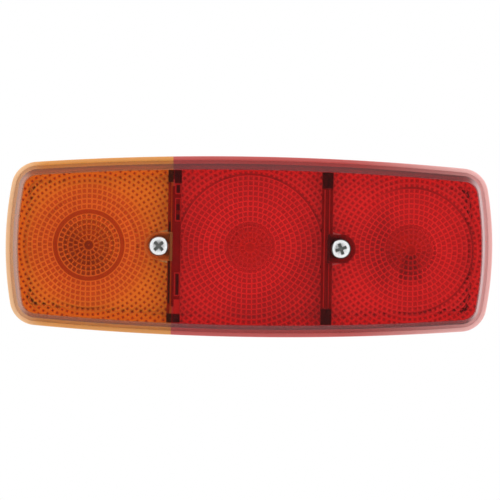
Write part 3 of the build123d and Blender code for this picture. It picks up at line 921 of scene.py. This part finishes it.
def chrome_finish(name, turned_radius):
    """Bright reflector coating.

    Within a radius about the lamp axes fine steps, too small to model, turn most of it to the front: there
    the surface direction is mixed with the one straight to the front.
    """
    to_front = (0.0, -1.0, 0.0)
    turned_share = 0.88
    soft_edge = 0.2
    material, tree, shader = new_material(name, Metallic=1.0)
    place_x, _, z = axes_of(tree, object_place(tree))
    x = maths(tree, "WRAP", place_x, lamp_pitch / 2 * MM, -lamp_pitch / 2 * MM)
    flat = zone(tree, from_axis(tree, x, z), turned_radius - soft_edge, turned_radius)
    # A little lighter within the turned radius: painted light over the dishes
    wire(tree, mixed(tree, flat, (0.98, 0.98, 0.98), (0.93, 0.93, 0.93)), shader.inputs["Base Color"])
    wire(tree, uneven(tree, grain(tree, 90.0), (0.30, 0.36)), shader.inputs["Roughness"])
    normal = surface_normal(tree)
    front = fade(tree, axes_of(tree, normal)[1], -0.6, -0.4, turned_share, 0.0)
    blend = tree.nodes.new("ShaderNodeMix")
    blend.data_type = "VECTOR"
    wire(tree, times(tree, front, maths(tree, "SUBTRACT", 1.0, flat)), blend.inputs[0])
    wire(tree, normal, blend.inputs[4])
    wire(tree, to_front, blend.inputs[5])
    wire(tree, blend.outputs[1], shader.inputs["Normal"])
    return material


def screw_finish():
    """Zinc plated screw head with a dull recess darkened by painted shade: the colour follows the height in
    the pocket.
    """
    material, tree, shader = new_material("screw_zinc", Metallic=1.0)
    high = times(tree, axes_of(tree, object_place(tree))[1], -1.0)
    top = pocket_floor + head_height
    open_top = zone(tree, high, top - 1.6, top - 0.5)
    plated = mixed(tree, grain(tree, 900.0), (0.66, 0.68, 0.69), (0.88, 0.88, 0.88))
    # Painted shade: dark in the recess, below the open top of the head
    wire(tree, mixed(tree, open_top, (0.2, 0.21, 0.2), plated), shader.inputs["Base Color"])
    wire(tree, fade(tree, open_top, 0.0, 1.0, 0.6, 0.15), shader.inputs["Roughness"])
    return material


def glass_finish():
    """Clear glass, a little dull in places."""
    material, tree, shader = new_material(
        "clear_glass", Base_Color=(1.0, 1.0, 1.0, 1.0), Transmission_Weight=1.0, IOR=1.5)
    wire(tree, fade(tree, grain(tree, 120.0), 0.45, 0.75, 0.0, 0.05), shader.inputs["Roughness"])
    return material


# Window plastics. The share of a direction is never below -1, so a band from -9 to -8 goes all round
all_round = (-9.0, -8.0)
everywhere = -100.0
nowhere = 100.0
# Body is the outer face's tint; the seams are painted highlights, the lit tints painted light, deep and band
# painted shade
amber_tints = {
    "body": (1.0, 0.27, 0.09), "cell": (0.50, 0.09, 0.025), "seam": (1.0, 0.76, 0.25),
    "lit_cell": (0.88, 0.36, 0.045), "lit_seam": (1.0, 1.0, 0.25),
    "deep": (0.16, 0.018, 0.004), "band": (0.36, 0.05, 0.012),
}
stop_tints = {
    "body": (1.0, 0.13, 0.13), "cell": (0.34, 0.03, 0.03), "seam": (0.9, 0.13, 0.13),
    "lit_cell": (0.68, 0.055, 0.055), "lit_seam": (1.0, 0.16, 0.16),
    "deep": (0.10, 0.01, 0.01), "band": (0.25, 0.02, 0.02),
}
tail_tints = {**stop_tints, "cell": (0.40, 0.035, 0.035)}
indicator_plastic = window_plastic(
    "amber_plastic", -lamp_pitch, amber_tints,
    {"low": 15.6, "high": 17.4, "towards": (0.0, 1.0), "shown": all_round},
    {"low": 27.0, "high": 33.0, "share": 1.0, "above": nowhere}, indicator_shade)
stop_plastic = window_plastic(
    "red_plastic", 0.0, stop_tints,
    {"low": 35.6, "high": 36.2, "towards": (0.0, 1.0), "shown": (0.0, 0.5)},
    {"low": 30.0, "high": 36.0, "share": 0.8, "above": everywhere}, stop_shade)
tail_plastic = window_plastic(
    "red_tail_plastic", lamp_pitch, tail_tints,
    {"low": 30.2, "high": 30.8, "towards": (1.0, 0.3), "shown": (-0.6, 0.2)},
    {"low": 25.0, "high": 32.0, "share": 0.8, "above": 0.0}, tail_shade)

# Plastics of rims, dividers and pockets, with their trim
# Lips and skirts are one plastic: the lighter lip tints are painted light, the darker skirt tints painted
# shade
amber_lip = edge_plastic("amber_lip", (0.92, 0.42, 0.10), (0.88, 0.38, 0.09), 0.05, (1.0, 0.62, 0.33))
red_lip = edge_plastic("red_lip", (0.72, 0.12, 0.11), (0.67, 0.11, 0.10), 0.05, (1.0, 0.55, 0.52), 45.0)
amber_edge = edge_plastic("amber_edge", (0.85, 0.25, 0.06), (0.80, 0.22, 0.05), 0.7, (0.95, 0.40, 0.18))
red_edge = edge_plastic("red_edge", (0.58, 0.055, 0.06), (0.52, 0.05, 0.055), 0.7, (0.85, 0.30, 0.30))
amber_clear = edge_plastic("amber_strip", (1.0, 0.40, 0.14), (0.95, 0.37, 0.13), 1.0)
red_clear = edge_plastic("red_strip", (1.0, 0.20, 0.20), (0.95, 0.18, 0.18), 1.0)
amber_pocket = edge_plastic("amber_pocket", (1.0, 0.36, 0.10), (0.95, 0.32, 0.09), 0.85)
# The red pocket's dark tint is painted shade in the cup round the screw
red_pocket = edge_plastic("red_pocket", (0.42, 0.03, 0.03), (0.36, 0.025, 0.025), 0.9)
amber_foot = foot_finish("amber_foot", (1.0, 0.88, 0.6), (0.96, 0.82, 0.55))
red_foot = foot_finish("red_foot", (1.0, 0.7, 0.7), (0.96, 0.65, 0.65))
# Trim under the dividers: ridges in a painted highlight colour, painted shade sheets and painted shadow in
# the slots
highlight_red = solid_finish("highlight_red", (0.95, 0.4, 0.35), (0.85, 0.35, 0.3), 300.0, (0.3, 0.4))
shade_sheet_red = solid_finish("shade_sheet_red", (0.40, 0.06, 0.06), (0.46, 0.07, 0.07), 200.0, (0.4, 0.5))
shade_sheet_brown = solid_finish("shade_sheet_brown", (0.5, 0.07, 0.1), (0.56, 0.08, 0.12), 200.0, (0.4, 0.5))
shadow_slot_dark = solid_finish("shadow_slot_dark", (0.04, 0.01, 0.01), (0.06, 0.015, 0.015), 200.0, (0.5, 0.6))

# Tray, seal, metal and glass
black_plastic = tray_finish()
black_rubber = solid_finish(
    "black_rubber", (0.014, 0.014, 0.014), (0.024, 0.024, 0.024), 260.0, (0.7, 0.85), 0.3)
bright_metal = chrome_finish("bright_metal", dish_radius)
bright_head = chrome_finish("bright_head", lamp_pitch)
zinc_steel = solid_finish(
    "zinc_steel", (0.70, 0.72, 0.75), (0.82, 0.82, 0.80), 400.0, (0.25, 0.4), 0.1, Metallic=1.0)
screw_zinc = screw_finish()
brass = solid_finish("brass", (0.78, 0.58, 0.27), (0.66, 0.47, 0.22), 350.0, (0.25, 0.4), Metallic=1.0)
clear_glass = glass_finish()

# Finishes of the CAD nodes that are carried over
node_finish = {
    "base_housing": black_plastic, "lens_gasket": black_rubber, "reflector_plate": bright_metal,
    "indicator_socket": bright_metal, "stop_socket": bright_metal, "tail_socket": bright_metal,
    "bulb_caps": brass, "threaded_inserts": brass, "indicator_contact": brass, "stop_contact": brass,
    "tail_contact": brass, "contact_rivets": brass, "earth_terminal": brass, "earth_rivet": bright_head,
    "plate_screws": bright_head,
}
for node, finish in node_finish.items():
    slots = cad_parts[node].data.materials
    slots.clear()
    slots.append(finish)

# Amber lens
indicator_window = window_slab(-lamp_pitch, -length / 2, amber_edge_x, amber_heights)
amber_piece("amber_lip", [swept_rim(-1.0, lip_profile())], amber_lip)
amber_piece("amber_skirt", [swept_rim(-1.0, skirt_profile())], amber_edge)
amber_piece("amber_window", [indicator_window], indicator_plastic)
amber_piece("amber_divider", [
    strip(amber_edge_x, -divider_x, low_z=pocket_outer),
    strip(amber_edge_x, -divider_x, high_z=-pocket_outer),
    *bars(rib_levels, amber_ribs)], amber_clear)
# Painted shade sheet, painted shadow slots and ridges in a painted highlight colour under the divider
amber_piece("amber_joint_shade_sheet", bars(shade_sheet_levels, amber_shade_sheets), shade_sheet_brown)
amber_piece("amber_joint_shadow_slots", bars(painted_bar_levels, amber_shadow_slots), shadow_slot_dark)
amber_piece("amber_joint_highlight_ridges", bars(painted_bar_levels, amber_highlight_ridges), highlight_red)
amber_piece("amber_pocket", [pocket_shell(-screw_x)], amber_pocket)
amber_piece("amber_ledge", [swept_rim(-1.0, ledge_profile())], amber_foot)

# Red lens
stop_window = window_slab(0.0, joint_strip - divider_x, divider_x - stop_strip, red_heights)
tail_window = window_slab(lamp_pitch, divider_x + tail_strip, length / 2, red_heights)
frame_highlights = [place for corners in red_highlight_frames for place in frame_places(*corners)]
red_piece("red_ledge", [swept_rim(1.0, ledge_profile())], red_foot)
red_piece("red_lip", [swept_rim(1.0, lip_profile())], red_lip)
red_piece("red_skirt", [swept_rim(1.0, skirt_profile())], red_edge)
red_piece("stop_window", [stop_window], stop_plastic)
red_piece("tail_window", [tail_window], tail_plastic)
red_piece("red_divider", [
    strip(-divider_x, joint_strip - divider_x), strip(divider_x - stop_strip, divider_x),
    strip(divider_x, divider_x + tail_strip, low_z=pocket_outer),
    strip(divider_x, divider_x + tail_strip, high_z=-pocket_outer), *bars(rib_levels, red_ribs)], red_clear)
red_piece("red_pocket", [pocket_shell(screw_x)], red_pocket)
# Painted shade sheets, ridges in a painted highlight colour and painted shadow slots under the dividers
red_piece("joint_shade_sheets", bars(shade_sheet_levels, red_shade_sheets), shade_sheet_red)
red_piece("joint_highlight_ridges", bars(painted_bar_levels, (*frame_highlights, *red_highlight_ridges)), highlight_red)
red_piece("joint_shadow_slots", bars(painted_bar_levels, red_shadow_slots), shadow_slot_dark)

# Screws, bulbs, studs and grommet
lens_screws = [lens_screw(-screw_x, left_recess_turn), lens_screw(screw_x, right_recess_turn)]
bulbs = [bulb_shell(x) for x in (-lamp_pitch, 0.0, lamp_pitch)]
studs = [threaded_stud(x) for x in (-stud_x, stud_x)]
grommet = closed_turning(0.0, grommet_z, grommet_profile())
add_piece("cross_screws", lens_screws, screw_zinc, "lens_screws")
add_piece("bulbs", bulbs, clear_glass, "bulb_glasses")
add_piece("threaded_studs", studs, zinc_steel, "mounting_studs")
add_piece("round_grommet", [grommet], black_rubber, "cable_grommet")


def lay_floor():
    """Plain pale floor well under the lamp."""
    half_width = 0.75
    floor_z = -0.4
    corners = [(x * half_width, y * half_width, floor_z) for x, y in ((-1, -1), (1, -1), (1, 1), (-1, 1))]
    mesh = bpy.data.meshes.new("floor")
    mesh.from_pydata(corners, [], [(0, 1, 2, 3)])
    mesh.materials.append(solid_finish("pale_floor", (0.88, 0.88, 0.88), (0.92, 0.92, 0.92), 3.0, (0.8, 0.9)))
    floor = bpy.data.objects.new("floor", mesh)
    bpy.context.scene.collection.objects.link(floor)


def strength_curve(tree, value, steps):
    """Strength that runs in straight lines between (place, strength) steps."""
    node = tree.nodes.new("ShaderNodeFloatCurve")
    node.mapping.use_clip = False
    curve = node.mapping.curves[0]
    curve.points[0].location = steps[0]
    curve.points[-1].location = steps[-1]
    for place, strength in steps[1:-1]:
        curve.points.new(place, strength)
    for point in curve.points:
        point.handle_type = "VECTOR"
    node.mapping.update()
    wire(tree, value, node.inputs["Value"])
    return node.outputs[0]


def light_world():
    """Soft studio: white straight behind the lamp, grey round that, white at the sides and in front.

    The strength depends on how far a direction points along Y. It is low round the camera, and the grey
    ring behind is lighter to the right and a little lighter to the left.
    """
    front = ((0.0, 1.1), (0.45, 1.1))
    behind = ((0.992, 1.0), (1.0, 1.0))
    grey_ring = ((0.72, 0.1), (0.982, 0.1))
    light_ring = ((0.72, 0.95), (0.982, 0.95))
    left_share = 0.45
    right_edge = (0.12, 0.34)
    left_edge = (-0.3, -0.12)
    camera_cone = (-0.9987, -0.9976)
    camera_strength = 0.1
    world = bpy.data.worlds.new("studio")
    bpy.context.scene.world = world
    world.use_nodes = True
    tree = world.node_tree
    x, y, _ = axes_of(tree, tree.nodes.new("ShaderNodeTexCoord").outputs["Generated"])
    share = times(tree, plus(tree, y, 1.0), 0.5)
    dim = strength_curve(tree, share, front + grey_ring + behind)
    bright = strength_curve(tree, share, front + light_ring + behind)
    right = fade(tree, x, *right_edge)
    left = fade(tree, x, *left_edge, left_share, 0.0)
    more = times(tree, maths(tree, "SUBTRACT", bright, dim), plus(tree, right, left))
    near_camera = fade(tree, y, *camera_cone, camera_strength, 1.0)
    background = tree.nodes["Background"]
    background.inputs["Color"].default_value = (1.0, 1.0, 1.0, 1.0)
    wire(tree, times(tree, plus(tree, dim, more), near_camera), background.inputs["Strength"])


def set_camera():
    """Camera in front of the lamp, a little to the upper left, rolled so that its right end hangs lower."""
    pixels = 500
    pixel_size = 0.4925
    picture_width = pixels * pixel_size
    aim_x = 0.4
    aim_z = -1.5
    rim_high = 50.0
    distance = 4000.0
    turn_left = 1.0
    turn_up = 1.0
    roll = 0.93
    target = np.array([aim_x, -rim_high, aim_z])
    place = target + distance * np.array([-np.sin(np.radians(turn_left)), -1.0, np.sin(np.radians(turn_up))])
    data = bpy.data.cameras.new("camera")
    data.sensor_width = 36.0
    data.lens = data.sensor_width * distance / picture_width
    camera = bpy.data.objects.new("camera", data)
    camera.location = place * MM
    camera.rotation_euler = np.radians([90.0 - turn_up, 0.0, -turn_left])
    camera.rotation_euler.rotate_axis("Z", np.radians(roll))
    bpy.context.scene.collection.objects.link(camera)
    bpy.context.scene.camera = camera


lay_floor()
light_world()
set_camera()
bpy.context.scene.view_settings.view_transform = "Standard"
